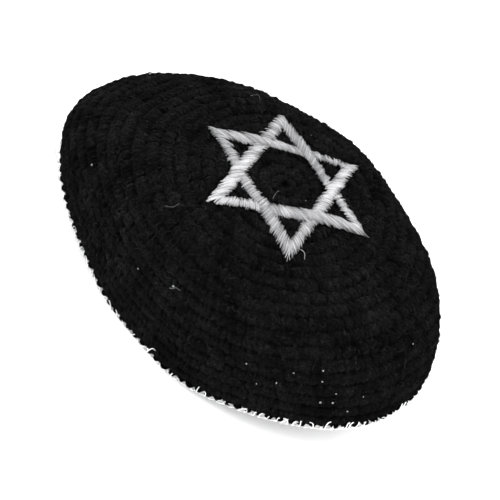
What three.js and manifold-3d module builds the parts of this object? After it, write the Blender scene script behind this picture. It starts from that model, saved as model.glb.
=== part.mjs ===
import * as THREE from 'three';
import { mergeVertices } from 'three/addons/utils/BufferGeometryUtils.js';
import Module from 'manifold-3d';

// Crocheted prayer cap with an embroidered six-pointed star and a thread edging along its rim.
// Millimetres, +Z up. The cap rests on its rim: the rim's two long sides lie on the surface and
// its two narrow ends are lifted. +X runs along the rim's long axis, towards the end lifted most.
// The origin is on the surface, under the middle of the cap's box.

// Sizes of the crocheted wall
const RIM_LENGTH = 168;
const RIM_WIDTH = 99;
const RIM_SQUARENESS = 2.37;
const CROWN_HEIGHT = 64.4;
const LIFT_FAR_END = 25.2;
const LIFT_NEAR_END = 14.4;
const BULGE = 20;
const WALL = 3.4;
const ROUNDS = 20;
const GROOVE_DEPTH = 0.7;

// Sizes of the thread work
const EDGING_HEIGHT = 1.5;
const EDGING_WIDTH = 3.2;
const EDGING_FLAT_WIDTH = 1.9;
const STAR_REACH = 36;
const BAR_WIDTH = 5.2;
const STAR_THICKNESS = 1;
const STAR_EDGE_THICKNESS = 0.6;
const GAP = 0.3;

// Number of flat faces that stand for a round form
const AROUND = 56;
const INNER_RINGS = 12;
const BAR_STEPS = 12;

// The rim stays down on the surface where it runs nearly along the long axis, out to this share
// of the way to the ends, and then curves up to them.
const RESTING_SHARE = 0.25;

// Profile of the wall from the crown's centre to the rim, at eight directions round the cap, 45 degrees
// apart and counted from the end that is lifted most. Shares of the sizes that they follow:
// reach of the rim's oval, flat of that reach, shoulder of the crown's height over the rim, bulge of BULGE.
const SECTIONS = [
  { reach: 1.015, flat: 0.64, shoulder: 0.74, bulge: -0.05 },
  { reach: 1.02, flat: 1.00, shoulder: 0.86, bulge: 0.43 },
  { reach: 1.01, flat: 0.81, shoulder: 1.13, bulge: 0.98 },
  { reach: 0.96, flat: 0.97, shoulder: 0.88, bulge: 0.34 },
  { reach: 0.995, flat: 0.45, shoulder: 0.47, bulge: 0.94 },
  { reach: 0.955, flat: 1.02, shoulder: 0.78, bulge: 0.49 },
  { reach: 1.01, flat: 0.77, shoulder: 1.18, bulge: 1.06 },
  { reach: 1.035, flat: 0.93, shoulder: 0.84, bulge: 0.26 },
];

// Tips of the star in degrees round the cap, with their distance from the crown's centre, measured
// over the cloth, as a share of STAR_REACH. Every second tip belongs to the same triangle.
const STAR_TIPS = [
  { toward: -104.2, reach: 1.03 },
  { toward: -43.7, reach: 0.99 },
  { toward: 19.8, reach: 0.99 },
  { toward: 75.9, reach: 0.98 },
  { toward: 134.8, reach: 1.0 },
  { toward: 184.6, reach: 1.04 },
];

const blackYarn = new THREE.MeshStandardMaterial({ color: 0x16161a, roughness: 0.95, metalness: 0 });
const silverThread = new THREE.MeshStandardMaterial({ color: 0xc4c6c9, roughness: 0.4, metalness: 0.25 });
const edgingThread = new THREE.MeshStandardMaterial({ color: 0xb9bbbf, roughness: 0.5, metalness: 0.2 });

// Value of one column of SECTIONS at a direction: a smooth closed curve through the eight rows
function sectionValue(column, direction) {
  const place = THREE.MathUtils.euclideanModulo(direction / (2 * Math.PI), 1) * SECTIONS.length;
  const row = Math.floor(place);
  const t = place - row;
  const [a, b, c, d] = [-1, 0, 1, 2].map((step) => {
    const index = THREE.MathUtils.euclideanModulo(row + step, SECTIONS.length);
    return SECTIONS[index][column];
  });
  const slopeIn = (c - a) / 2;
  const slopeOut = (d - b) / 2;
  return b + slopeIn * t + (3 * (c - b) - 2 * slopeIn - slopeOut) * t ** 2
    + (2 * (b - c) + slopeIn + slopeOut) * t ** 3;
}

// Distance of the rim from the crown's axis
function rimReach(direction) {
  const along = Math.abs(Math.cos(direction) / (RIM_LENGTH / 2)) ** RIM_SQUARENESS;
  const across = Math.abs(Math.sin(direction) / (RIM_WIDTH / 2)) ** RIM_SQUARENESS;
  return sectionValue('reach', direction) * (along + across) ** (-1 / RIM_SQUARENESS);
}

// Height of the edging's underside above the surface
function rimLift(direction) {
  const towardEnd = Math.cos(direction);
  const lift = towardEnd > 0 ? LIFT_FAR_END : LIFT_NEAR_END;
  const share = Math.max(0, Math.abs(towardEnd) - RESTING_SHARE) / (1 - RESTING_SHARE);
  return lift * share ** 2;
}

// Outer profile in one direction, as a curve of distance from the axis and height
function wallProfile(direction) {
  const reach = rimReach(direction);
  const rimHeight = rimLift(direction) + EDGING_HEIGHT + GAP;
  const shoulderHeight = rimHeight + (CROWN_HEIGHT - rimHeight) * sectionValue('shoulder', direction);
  return new THREE.CubicBezierCurve(
    new THREE.Vector2(0, CROWN_HEIGHT),
    new THREE.Vector2(reach * sectionValue('flat', direction), CROWN_HEIGHT),
    new THREE.Vector2(reach + BULGE * sectionValue('bulge', direction), shoulderHeight),
    new THREE.Vector2(reach, rimHeight),
  );
}

// Point at a distance from the axis and a height, in one direction
function placed(direction, distance, height) {
  return new THREE.Vector3(distance * Math.cos(direction), distance * Math.sin(direction), height);
}

// Point of the wall: share runs from 0 at the crown's centre to 1 at the rim, over the cloth,
// and proud is how far the point stands out of the cloth
function wallPoint(direction, profile, share, proud) {
  const point = profile.getPointAt(share);
  const tangent = profile.getTangentAt(share);
  return placed(direction, point.x - proud * tangent.y, point.y + proud * tangent.x);
}

// Closed surface from rings of points, two triangles a cell. With poles, the first ring closes on the
// first pole and the last ring on the second. Without them, the last ring joins the first.
function closedSurface(rings, poles = []) {
  const count = rings[0].length;
  const points = rings.flat();
  const faces = [];
  const bands = rings.length - (poles.length ? 1 : 0);
  for (let i = 0; i < bands; i += 1) {
    const here = i * count;
    const next = ((i + 1) % rings.length) * count;
    for (let j = 0; j < count; j += 1) {
      const k = (j + 1) % count;
      faces.push(here + j, next + j, next + k, here + j, next + k, here + k);
    }
  }
  if (poles.length) {
    const first = points.length;
    const lastRing = (rings.length - 1) * count;
    points.push(...poles);
    for (let j = 0; j < count; j += 1) {
      const k = (j + 1) % count;
      faces.push(first, j, k, first + 1, lastRing + k, lastRing + j);
    }
  }
  const geometry = new THREE.BufferGeometry().setFromPoints(points);
  geometry.setIndex(faces);
  geometry.computeVertexNormals();
  return geometry;
}

function namedMesh(name, geometry, material) {
  const mesh = new THREE.Mesh(geometry, material);
  mesh.name = name;
  return mesh;
}

const directions = Array.from({ length: AROUND }, (_, i) => (2 * Math.PI * i) / AROUND);
const profiles = directions.map(wallProfile);

// Crocheted wall: each round stands out as a rib, with a groove between it and the next.
// The inside is smooth. The surface runs from the crown's centre over the rim and back up inside.
function capShell() {
  const ring = (share, proud) => directions.map((d, i) => wallPoint(d, profiles[i], share, proud));
  const rings = [];
  for (let half = 2; half <= 2 * ROUNDS; half += 1) {
    const isGroove = half % 2 === 0;
    rings.push(ring(half / (2 * ROUNDS), isGroove ? -GROOVE_DEPTH : 0));
  }
  for (let i = INNER_RINGS; i > 0; i -= 1) {
    rings.push(ring(i / INNER_RINGS, -WALL));
  }
  const poles = [placed(0, 0, CROWN_HEIGHT - GROOVE_DEPTH), placed(0, 0, CROWN_HEIGHT - WALL)];
  return namedMesh('cap_shell', closedSurface(rings, poles), blackYarn);
}

// Thread edging: a bar with rounded sides under the wall's edge, level across its flat underside
function rimEdging() {
  const sections = directions.map((direction, i) => {
    const edge = profiles[i].getPoint(1);
    const down = profiles[i].getTangent(1);
    const out = new THREE.Vector2(-down.y, down.x);
    const middle = edge.clone().addScaledVector(out, -WALL / 2);
    const under = rimLift(direction);
    const top = middle.clone().addScaledVector(down, GAP);
    const half = EDGING_WIDTH / 2;
    const flatHalf = EDGING_FLAT_WIDTH / 2;
    const at = (across, height) => placed(direction, top.x + across * out.x, height);
    const topOut = top.y + flatHalf * out.y;
    const topIn = top.y - flatHalf * out.y;
    return [
      at(flatHalf, under),
      at(half, (under + topOut) / 2),
      at(flatHalf, topOut),
      at(-flatHalf, topIn),
      at(-half, (under + topIn) / 2),
      at(-flatHalf, under),
    ];
  });
  return namedMesh('rim_edging', closedSurface(sections), edgingThread);
}

// Point over the cloth: flat is a place on the unrolled crown, above is the height over the cloth
function clothPoint(flat, above) {
  const direction = flat.angle();
  const profile = wallProfile(direction);
  return wallPoint(direction, profile, flat.length() / profile.getLength(), above);
}

// One triangle of the star: three bars with mitred corners, raised along their middle line
function starTriangle(tips) {
  const corners = tips.map((tip, i) => {
    const toNext = tips[(i + 1) % 3].clone().sub(tip).normalize();
    const toLast = tips[(i + 2) % 3].clone().sub(tip).normalize();
    const inward = toNext.clone().add(toLast);
    return tip.clone().addScaledVector(inward, BAR_WIDTH / Math.abs(toNext.cross(toLast)));
  });
  const sections = [];
  for (let side = 0; side < 3; side += 1) {
    const next = (side + 1) % 3;
    for (let step = 0; step < BAR_STEPS; step += 1) {
      const outer = tips[side].clone().lerp(tips[next], step / BAR_STEPS);
      const inner = corners[side].clone().lerp(corners[next], step / BAR_STEPS);
      const middle = outer.clone().lerp(inner, 0.5);
      sections.push([
        clothPoint(outer, GAP),
        clothPoint(outer, GAP + STAR_EDGE_THICKNESS),
        clothPoint(middle, GAP + STAR_THICKNESS),
        clothPoint(inner, GAP + STAR_EDGE_THICKNESS),
        clothPoint(inner, GAP),
        clothPoint(middle, GAP),
      ]);
    }
  }
  return closedSurface(sections);
}

const wasm = await Module();
wasm.setup();

function toSolid(geometry) {
  const bare = geometry.clone();
  bare.deleteAttribute('normal');
  const merged = mergeVertices(bare);
  return new wasm.Manifold(new wasm.Mesh({
    numProp: 3,
    vertProperties: new Float32Array(merged.attributes.position.array),
    triVerts: new Uint32Array(merged.index.array),
  }));
}

function toGeometry(solid) {
  const mesh = solid.getMesh();
  const geometry = new THREE.BufferGeometry();
  geometry.setAttribute('position', new THREE.BufferAttribute(mesh.vertProperties, 3));
  geometry.setIndex(new THREE.BufferAttribute(mesh.triVerts, 1));
  geometry.computeVertexNormals();
  return geometry;
}

// Star: two triangles through each other, sewn as one piece
function starEmbroidery() {
  const tips = STAR_TIPS.map(({ toward, reach }) => {
    const direction = THREE.MathUtils.degToRad(toward);
    return new THREE.Vector2(Math.cos(direction), Math.sin(direction)).multiplyScalar(reach * STAR_REACH);
  });
  const triangles = [0, 1].map((first) => toSolid(starTriangle([0, 2, 4].map((step) => tips[first + step]))));
  return namedMesh('star_embroidery', toGeometry(triangles[0].add(triangles[1])), silverThread);
}

const cap = new THREE.Group();
cap.add(capShell(), starEmbroidery(), rimEdging());

// The origin goes under the middle of the cap
const middle = new THREE.Box3().setFromObject(cap).getCenter(new THREE.Vector3());
cap.position.set(-middle.x, -middle.y, 0);

export default cap;
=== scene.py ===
"""Looks of a crocheted prayer cap, laid out as an add-on and run as a script.

Every piece is a surface worked out with numpy over the cap's cloth, in metres, in the frame of the
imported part. The cloth is read by direction, the angle round the crown, and by share, which runs from
0 at the crown's centre to 1 at the rim, measured over the cloth.
"""

import math

import bpy
import numpy as np
from bpy.props import FloatProperty, FloatVectorProperty, IntProperty, PointerProperty
from mathutils import Matrix, Vector


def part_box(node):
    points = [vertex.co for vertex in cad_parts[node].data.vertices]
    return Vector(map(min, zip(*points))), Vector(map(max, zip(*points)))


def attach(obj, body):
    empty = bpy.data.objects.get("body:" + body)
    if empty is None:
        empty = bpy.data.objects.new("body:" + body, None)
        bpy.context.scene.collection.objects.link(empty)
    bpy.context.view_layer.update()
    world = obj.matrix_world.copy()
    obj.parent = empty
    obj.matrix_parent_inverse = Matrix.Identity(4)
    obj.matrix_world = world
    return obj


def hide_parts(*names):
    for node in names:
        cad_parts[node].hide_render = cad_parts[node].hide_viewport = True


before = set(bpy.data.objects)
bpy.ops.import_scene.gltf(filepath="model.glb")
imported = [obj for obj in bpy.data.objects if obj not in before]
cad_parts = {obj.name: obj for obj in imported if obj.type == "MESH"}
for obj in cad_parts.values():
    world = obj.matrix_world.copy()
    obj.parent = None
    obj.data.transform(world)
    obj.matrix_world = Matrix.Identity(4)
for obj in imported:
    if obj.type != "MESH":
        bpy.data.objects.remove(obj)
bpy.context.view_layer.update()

bl_info = {
    "name": "Crocheted Prayer Cap",
    "version": (1, 0, 0),
    "blender": (4, 5, 0),
    "location": "View3D > Sidebar > Cap",
    "description": "Builds the yarn, the embroidered star and the thread edging of a crocheted cap",
    "category": "Add Mesh",
}

MM = 0.001
BODY = "root"

# Profile of the wall at eight directions round the cap, 45 degrees apart and counted from the end that is
# lifted most, as shares of the sizes that they follow: reach of the rim's oval, flat of that reach,
# shoulder of the crown's height over the rim, bulge of the wall's bulge. They are rounded from a numerical
# fit to the photograph's outline and to the grooves between rounds
SECTIONS = (
    {"reach": 1.015, "flat": 0.64, "shoulder": 0.74, "bulge": -0.05},
    {"reach": 1.02, "flat": 1.00, "shoulder": 0.86, "bulge": 0.43},
    {"reach": 1.01, "flat": 0.81, "shoulder": 1.13, "bulge": 0.98},
    {"reach": 0.96, "flat": 0.97, "shoulder": 0.88, "bulge": 0.34},
    {"reach": 0.995, "flat": 0.45, "shoulder": 0.47, "bulge": 0.94},
    {"reach": 0.955, "flat": 1.02, "shoulder": 0.78, "bulge": 0.49},
    {"reach": 1.01, "flat": 0.77, "shoulder": 1.18, "bulge": 1.06},
    {"reach": 1.035, "flat": 0.93, "shoulder": 0.84, "bulge": 0.26},
)

# The rim rests on the surface out to this share of the way to its ends, and then curves up to them
RESTING_SHARE = 0.25

# Bars of the star, sewn by hand and so uneven. Each starts at its own tip, given in degrees round the cap
# and as a share of the star's reach from the crown's centre over the cloth. It runs to the next tip but one,
# over one bar and then under another, at these parts of its length. Width and inset are in millimetres at
# five places spaced evenly along it, and the inset is how far its middle lies inward from the line between
# the tips. Lean is that of the satin strands in degrees from the line, at the four places of LEAN_PLACES,
# and the last column is how pale the strands are painted at the same places: painted highlight where the
# satin catches the light and painted shade where it misses it. Tips, widths and insets were read off the
# photograph by way of the fitted camera
STAR_BARS = (
    {"toward": 184.3, "reach": 1.043, "over": 0.32, "under": 0.60,
     "width": (5.4, 5.5, 4.0, 2.7, 1.7), "inset": (2.7, 3.4, 3.4, 3.0, 2.4),
     "lean": (37, 41, 50, 126), "tone_and_painted_shine": (0.3, 0.35, 0.42, 0.28)},
    {"toward": 134.7, "reach": 1.028, "over": 0.29, "under": 0.63,
     "width": (5.2, 5.1, 4.0, 3.7, 2.7), "inset": (1.8, 2.3, 1.8, 1.4, 1.2),
     "lean": (37, 46, 84, 155), "tone_and_painted_shine": (0.28, 0.32, 0.42, 0.58)},
    {"toward": 77.1, "reach": 1.003, "over": 0.31, "under": 0.60,
     "width": (4.2, 4.7, 4.3, 4.5, 4.8), "inset": (2.1, 2.3, 1.8, 1.9, 2.1),
     "lean": (40, 50, 100, 145), "tone_and_painted_shine": (0.38, 0.95, 0.3, 0.5)},
    {"toward": 19.7, "reach": 0.981, "over": 0.33, "under": 0.64,
     "width": (4.2, 6.0, 5.4, 4.5, 4.0), "inset": (2.4, 3.8, 2.9, 2.5, 2.0),
     "lean": (29, 40, 72, 152), "tone_and_painted_shine": (0.48, 0.25, 0.55, 0.88)},
    {"toward": -44.4, "reach": 1.005, "over": 0.34, "under": 0.62,
     "width": (4.5, 6.0, 4.8, 4.8, 3.2), "inset": (2.1, 1.6, -1.4, 0.5, 1.6),
     "lean": (32, 66, 78, 148), "tone_and_painted_shine": (0.36, 0.34, 0.5, 0.05)},
    {"toward": -103.2, "reach": 1.018, "over": 0.39, "under": 0.67,
     "width": (4.0, 5.2, 4.7, 4.7, 4.6), "inset": (1.6, 1.8, 1.4, 1.7, 2.3),
     "lean": (33, 37, 55, 128), "tone_and_painted_shine": (0.85, 0.98, 0.42, 0.3)},
)
LEAN_PLACES = (0, 1 / 3, 2 / 3, 1)

# Loose threads that lie on the yarn, from one place to another, each place in degrees round the cap and
# share of the way to the rim, found in the photograph through the fitted camera. The bow is sideways, as a
# share of the thread's length, the radius in millimetres, and tone is how pale the thread is
LOOSE_THREADS = (
    {"start": (323.5, 0.283), "end": (326.5, 0.330), "bow": 0.2, "radius": 0.055, "tone": 0.8},
    {"start": (285.0, 0.100), "end": (283.0, 0.048), "bow": 0.05, "radius": 0.03, "tone": 0.1},
    {"start": (148.0, 0.443), "end": (144.0, 0.415), "bow": 0.50, "radius": 0.025, "tone": 0.06},
    {"start": (249.0, 0.463), "end": (251.0, 0.415), "bow": -0.25, "radius": 0.025, "tone": 0.1},
    {"start": (274.3, 0.637), "end": (276.0, 0.622), "bow": 0.10, "radius": 0.04, "tone": 0.4},
    {"start": (275.8, 0.620), "end": (278.2, 0.612), "bow": 0.30, "radius": 0.035, "tone": 0.2},
)

# Specks of white lint caught in the yarn, found and placed in the same way, with their size in millimetres
LINT = (
    {"toward": 217.5, "share": 0.713, "size": 1.1},
    {"toward": 259.5, "share": 0.690, "size": 0.7},
    {"toward": 275.2, "share": 0.618, "size": 0.6},
    {"toward": 331.0, "share": 0.733, "size": 0.6},
    {"toward": 331.5, "share": 0.775, "size": 0.5},
    {"toward": 336.0, "share": 0.825, "size": 0.6},
    {"toward": 333.0, "share": 0.865, "size": 0.7},
    {"toward": 336.0, "share": 0.865, "size": 0.7},
    {"toward": 340.5, "share": 0.907, "size": 0.6},
    {"toward": 343.5, "share": 0.848, "size": 0.5},
    {"toward": 320.5, "share": 0.805, "size": 0.5},
    {"toward": 316.0, "share": 0.833, "size": 0.5},
    {"toward": 310.5, "share": 0.753, "size": 0.5},
    {"toward": 323.5, "share": 0.748, "size": 0.5},
    {"toward": 3.0, "share": 0.738, "size": 0.7},
    {"toward": 8.0, "share": 0.095, "size": 0.6},
    {"toward": 112.5, "share": 0.290, "size": 0.5},
    {"toward": 172.5, "share": 0.823, "size": 1.0},
    {"toward": 170.0, "share": 0.740, "size": 0.6},
)

# How far each round's stitches start past those of the round before, in stitch widths
STAGGER = 0.37

# Fineness of the cloth's table of points
DIRECTIONS = 720
SHARES = 240
CURVE_STEPS = 128

# Faces round and along the strands that are repeated many times
YARN_SIDES = 8
YARN_SPANS = 6
THREAD_SIDES = 6
SATIN_SPANS = 6


def length_setting(name, description, default):
    """A length in metres that the user can change."""
    return FloatProperty(name=name, description=description, default=default, unit="LENGTH")


def angle_setting(name, description, degrees):
    """An angle that the user can change, with its default given in degrees."""
    return FloatProperty(name=name, description=description, default=math.radians(degrees), unit="ROTATION")


def colour_setting(name, description, default):
    """A colour that the user can change."""
    return FloatVectorProperty(name=name, description=description, default=default, size=3, subtype="COLOR",
                               min=0, max=1)


class WallSettings(bpy.types.PropertyGroup):
    """Sizes of the crocheted wall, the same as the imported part's."""

    rim_length: length_setting("Rim Length", "Length of the rim's oval", 0.168)
    rim_width: length_setting("Rim Width", "Width of the rim's oval", 0.099)
    rim_squareness: FloatProperty(
        name="Rim Squareness", description="Exponent of the oval, 2 for an ellipse", default=2.37)
    crown_height: length_setting("Crown Height", "Height of the crown's centre", 0.0644)
    lift_far_end: length_setting("Lift of the Far End", "Height of the rim at +X", 0.0252)
    lift_near_end: length_setting("Lift of the Near End", "Height of the rim at -X", 0.0144)
    bulge: length_setting("Bulge", "How far the wall swells past the rim", 0.020)
    thickness: length_setting("Thickness", "Thickness of the crocheted wall", 0.0034)
    rounds: IntProperty(
        name="Rounds", description="Crocheted rounds from the crown's centre to the rim", default=20)
    edging_height: length_setting("Edging Height", "Height that the thread edging takes", 0.0015)
    gap: length_setting("Gap", "Gap between the wall and what is sewn to it", 0.0003)


class YarnSettings(bpy.types.PropertyGroup):
    """Sizes and colour of the black yarn and its stitches."""

    stitch_width: length_setting("Stitch Width", "Width of one stitch along a round", 0.0041)
    radius: length_setting("Yarn Radius", "Radius of one leg of a stitch", 0.0011)
    slant: FloatProperty(
        name="Slant", description="How far a stitch leans along its round, in stitch widths", default=0.62)
    round_depth: length_setting("Round Depth", "Depth of the groove between rounds", 0.0015)
    unevenness: length_setting("Unevenness", "Random shift of each stitch", 0.00016)
    colour: colour_setting("Yarn Colour", "Colour of the yarn", (0.00103, 0.00103, 0.00107))


class StarSettings(bpy.types.PropertyGroup):
    """Sizes and colour of the embroidered star."""

    reach: length_setting("Reach", "Distance of the tips from the crown's centre", 0.036)
    width_share: FloatProperty(
        name="Width Share", description="Share of the bars' own widths that they are sewn in", default=1.0)
    height: length_setting("Height", "Height of the satin stitch over the yarn", 0.0009)
    strand_radius: length_setting("Strand Radius", "Radius of one satin strand", 0.000112)
    strand_pitch: length_setting("Strand Pitch", "Distance between satin strands", 0.00017)
    colour: colour_setting("Silver Colour", "Colour of the silver thread", (0.222, 0.222, 0.226))


class EdgingSettings(bpy.types.PropertyGroup):
    """Sizes and colour of the thread edging."""

    thread_radius: length_setting("Thread Radius", "Radius of the edging thread", 0.00024)
    loop_height: length_setting("Loop Height", "How far a loop climbs over the yarn", 0.0017)
    colour: colour_setting("Edging Colour", "Colour of the edging thread", (0.72, 0.72, 0.73))


class StraySettings(bpy.types.PropertyGroup):
    """Counts and sizes of the fibres that stand out of the yarn."""

    fibres: IntProperty(
        name="Fibres", description="Number of short fibres in each of the two pieces", default=4800)
    fibre_length: length_setting("Fibre Length", "Usual length of a fibre", 0.0018)
    fibre_radius: length_setting("Fibre Radius", "Radius of a fibre", 0.00004)
    colour: colour_setting("Fibre Colour", "Colour of the palest fibres", (0.05, 0.05, 0.051))


class StageSettings(bpy.types.PropertyGroup):
    """Place of the camera and strength of the studio light."""

    azimuth: angle_setting("Azimuth", "Camera's angle round the cap", 20.0)
    elevation: angle_setting("Elevation", "Camera's angle over the floor", 43.7)
    roll: angle_setting("Roll", "Turn of the camera about its view", 32.0)
    distance: length_setting("Distance", "Distance from the crown's centre", 0.9534)
    aside: length_setting("Aside", "Move of the camera to its left", 0.0130)
    below: length_setting("Below", "Move of the camera down in its own frame", 0.0244)
    lens: FloatProperty(name="Lens", description="Focal length in millimetres", default=187.2)
    sky: FloatProperty(name="Sky", description="Strength of the light from all round", default=2.4)
    key: FloatProperty(
        name="Key", description="Power of the soft light over the far side", default=4.4, unit="POWER")
    fill: FloatProperty(
        name="Fill", description="Power of the soft light beside the camera", default=7.6, unit="POWER")
    floor_colour: colour_setting("Floor Colour", "Colour of the plain floor", (0.95, 0.95, 0.95))


def unit(vectors):
    """Each vector over its own length."""
    return vectors / np.maximum(np.linalg.norm(vectors, axis=-1, keepdims=True), 1e-12)


def apart(first, second):
    """Angle from the second direction to the first, in degrees from -180 to 180."""
    return (first - second + 180) % 360 - 180


def gone(part, start, length):
    """How much of a stretch with that start and length is gone at a part of the way, from 0 to 1."""
    return np.clip((part - start) / length, 0, 1)


def section_value(column, direction):
    """One column of SECTIONS at each direction: a smooth closed cubic through the eight rows, with the
    slope at a row that of the line between its two neighbours."""
    rows = np.array([row[column] for row in SECTIONS])
    place = direction / math.tau % 1 * len(rows)
    row = np.floor(place).astype(int)
    t = place - row
    a, b, c, d = (rows[(row + step) % len(rows)] for step in (-1, 0, 1, 2))
    slope_in = (c - a) / 2
    slope_out = (d - b) / 2
    bend = 3 * (c - b) - 2 * slope_in - slope_out
    return b + slope_in * t + bend * t**2 + (2 * (b - c) + slope_in + slope_out) * t**3


def rim_reach(wall, direction):
    """Distance of the rim from the crown's axis: a superellipse times the sections' reach."""
    along = np.abs(np.cos(direction) / (wall.rim_length / 2)) ** wall.rim_squareness
    across = np.abs(np.sin(direction) / (wall.rim_width / 2)) ** wall.rim_squareness
    return section_value("reach", direction) * (along + across) ** (-1 / wall.rim_squareness)


def rim_lift(wall, direction):
    """Height of the edging's underside: level along the sides, then rising with the square of the share
    of the way to the end."""
    toward_end = np.cos(direction)
    lift = np.where(toward_end > 0, wall.lift_far_end, wall.lift_near_end)
    share = np.maximum(0, np.abs(toward_end) - RESTING_SHARE) / (1 - RESTING_SHARE)
    return lift * share**2


class Cloth:
    """The cap's outer surface over the crests of its rounds, as a table of points by direction and share.

    In each direction the wall is a cubic Bezier curve of distance from the axis and height, and the share
    is its arc length from the crown's centre over its whole length."""

    def __init__(self, wall):
        self.wall = wall
        direction = np.arange(DIRECTIONS) * math.tau / DIRECTIONS
        reach = rim_reach(wall, direction)
        rim_height = rim_lift(wall, direction) + wall.edging_height + wall.gap
        crown = np.full(DIRECTIONS, wall.crown_height)
        shoulder = rim_height + (crown - rim_height) * section_value("shoulder", direction)
        handle = reach * section_value("flat", direction)
        belly = reach + wall.bulge * section_value("bulge", direction)
        t = np.linspace(0, 1, CURVE_STEPS + 1)
        weights = np.stack(((1 - t) ** 3, 3 * t * (1 - t) ** 2, 3 * t**2 * (1 - t), t**3))
        distance = np.stack((0 * reach, handle, belly, reach), axis=1) @ weights
        height = np.stack((crown, crown, shoulder, rim_height), axis=1) @ weights
        steps = np.hypot(np.diff(distance), np.diff(height))
        run = np.concatenate((np.zeros((DIRECTIONS, 1)), np.cumsum(steps, axis=1)), axis=1)
        wanted = run[:, -1:] * np.linspace(0, 1, SHARES + 1)
        low = (run[:, None, :] <= wanted[:, :, None]).sum(-1) - 1
        low = np.clip(low, 0, CURVE_STEPS - 1)
        before, after = (np.take_along_axis(run, low + step, 1) for step in (0, 1))
        part = (wanted - before) / (after - before)

        def at_share(values):
            first, second = (np.take_along_axis(values, low + step, 1) for step in (0, 1))
            return first + (second - first) * part

        out = at_share(distance)
        points = np.stack((out * np.cos(direction)[:, None], out * np.sin(direction)[:, None],
                           at_share(height)), axis=-1)
        down = np.gradient(points, 1 / SHARES, axis=1, edge_order=2)
        along = (np.roll(points, -1, 0) - np.roll(points, 1, 0)) * DIRECTIONS / (2 * math.tau)
        normals = unit(np.cross(down, along))
        normals[:, 0] = (0, 0, 1)
        self.length = self.closed(run[:, -1])
        self.points = self.closed(points)
        self.normals = self.closed(normals)
        self.down = self.closed(down)
        self.points += self.place_in_frame()

    @staticmethod
    def closed(table):
        """The table with its first row again at its end, a whole turn on."""
        return np.concatenate((table, table[:1]))

    def place_in_frame(self):
        """The move that puts the middle of the cloth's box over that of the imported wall."""
        low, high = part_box("cap_shell")
        own_low = self.points.min((0, 1))
        own_high = self.points.max((0, 1))
        return np.array((low.x + high.x - own_low[0] - own_high[0],
                         low.y + high.y - own_low[1] - own_high[1], 0)) / 2

    def at(self, direction, share, proud=0.0):
        """Points, normals and the unit directions along the round and down to the rim, at any direction
        and share, each point the distance proud out of the cloth. Past the rim the wall runs straight on."""
        direction, share, proud = np.broadcast_arrays(direction, share, proud)
        column = direction / math.tau % 1 * DIRECTIONS
        held = np.clip(share, 0, 1)
        i = np.minimum(column.astype(int), DIRECTIONS - 1)
        j = np.minimum((held * SHARES).astype(int), SHARES - 1)
        a = (column - i)[..., None]
        b = (held * SHARES - j)[..., None]

        def mixed(table):
            here = table[i, j] * (1 - b) + table[i, j + 1] * b
            there = table[i + 1, j] * (1 - b) + table[i + 1, j + 1] * b
            return here * (1 - a) + there * a

        normal = unit(mixed(self.normals))
        down = mixed(self.down)
        points = mixed(self.points) + (share - held)[..., None] * down + proud[..., None] * normal
        down = unit(down)
        return points, normal, unit(np.cross(normal, down)), down

    def round_directions(self, number, width):
        """How many stitches of that width a round holds, counted from 0 at the crown, and a function from
        the part of the way round it, 0 to 1, to the direction, by even steps over the cloth."""
        around = np.arange(DIRECTIONS + 1) * math.tau / DIRECTIONS
        ring = self.at(around, (number + 0.5) / self.wall.rounds)[0]
        steps = np.linalg.norm(np.diff(ring, axis=0), axis=1)
        run = np.concatenate(((0,), np.cumsum(steps)))
        count = max(6, round(run[-1] / width))
        return count, lambda part: np.interp(part % 1 * run[-1], run, around)

    def on_crown(self, flat, proud):
        """Points over a place on the unrolled crown, given from the crown's centre, with their frame."""
        direction = np.arctan2(flat[..., 1], flat[..., 0])
        column = direction / math.tau % 1 * DIRECTIONS
        length = np.interp(column, np.arange(DIRECTIONS + 1), self.length)
        return self.at(direction, np.linalg.norm(flat, axis=-1) / length, proud)


def square_map(low_x, high_x, low_y, high_y):
    """Maps of the four corners of each face: low, high x, high in both, high y."""
    low_x, high_x, low_y, high_y = np.broadcast_arrays(low_x, high_x, low_y, high_y)
    return np.stack((low_x, low_y, high_x, low_y, high_x, high_y, low_x, high_y), axis=-1)


class Surface:
    """Faces gathered for one piece: points, corners, corners for each face, map of each corner, tones."""

    def __init__(self):
        self.points, self.corners, self.sizes, self.maps, self.tones = [], [], [], [], []
        self.count = 0

    def add(self, points, faces, maps, tones):
        """Adds points with their tones, and faces of one size with a map for each corner."""
        self.corners.append(faces.ravel() + self.count)
        self.sizes.append(np.full(len(faces), faces.shape[1]))
        self.maps.append(maps.reshape(-1, 2))
        if points is not None:
            self.points.append(points.reshape(-1, 3))
            self.tones.append(np.broadcast_to(tones, points.shape[:-1]).ravel())

    def finish_part(self):
        """The next part's faces count from the end of the points so far."""
        self.count = sum(len(p) for p in self.points)

    def piece(self, name, material, slot, replaces=None):
        """The gathered faces as one smooth mesh object that rides on the cap."""
        points = np.concatenate(self.points)
        sizes = np.concatenate(self.sizes)
        mesh = bpy.data.meshes.new(name)
        mesh.vertices.add(len(points))
        mesh.vertices.foreach_set("co", points.astype(np.float32).ravel())
        mesh.loops.add(int(sizes.sum()))
        mesh.loops.foreach_set("vertex_index", np.concatenate(self.corners).astype(np.int32))
        mesh.polygons.add(len(sizes))
        mesh.polygons.foreach_set("loop_start", (np.cumsum(sizes) - sizes).astype(np.int32))
        mesh.update(calc_edges=True)
        mesh.uv_layers.new(name="strand").data.foreach_set(
            "uv", np.concatenate(self.maps).astype(np.float32).ravel())
        tone = mesh.attributes.new("tone", "FLOAT", "POINT")
        tone.data.foreach_set("value", np.concatenate(self.tones).astype(np.float32))
        mesh.shade_smooth()
        mesh.materials.append(material)
        piece = bpy.data.objects.new(name, mesh)
        bpy.context.scene.collection.objects.link(piece)
        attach(piece, BODY)
        if replaces:
            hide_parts(replaces)


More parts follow.
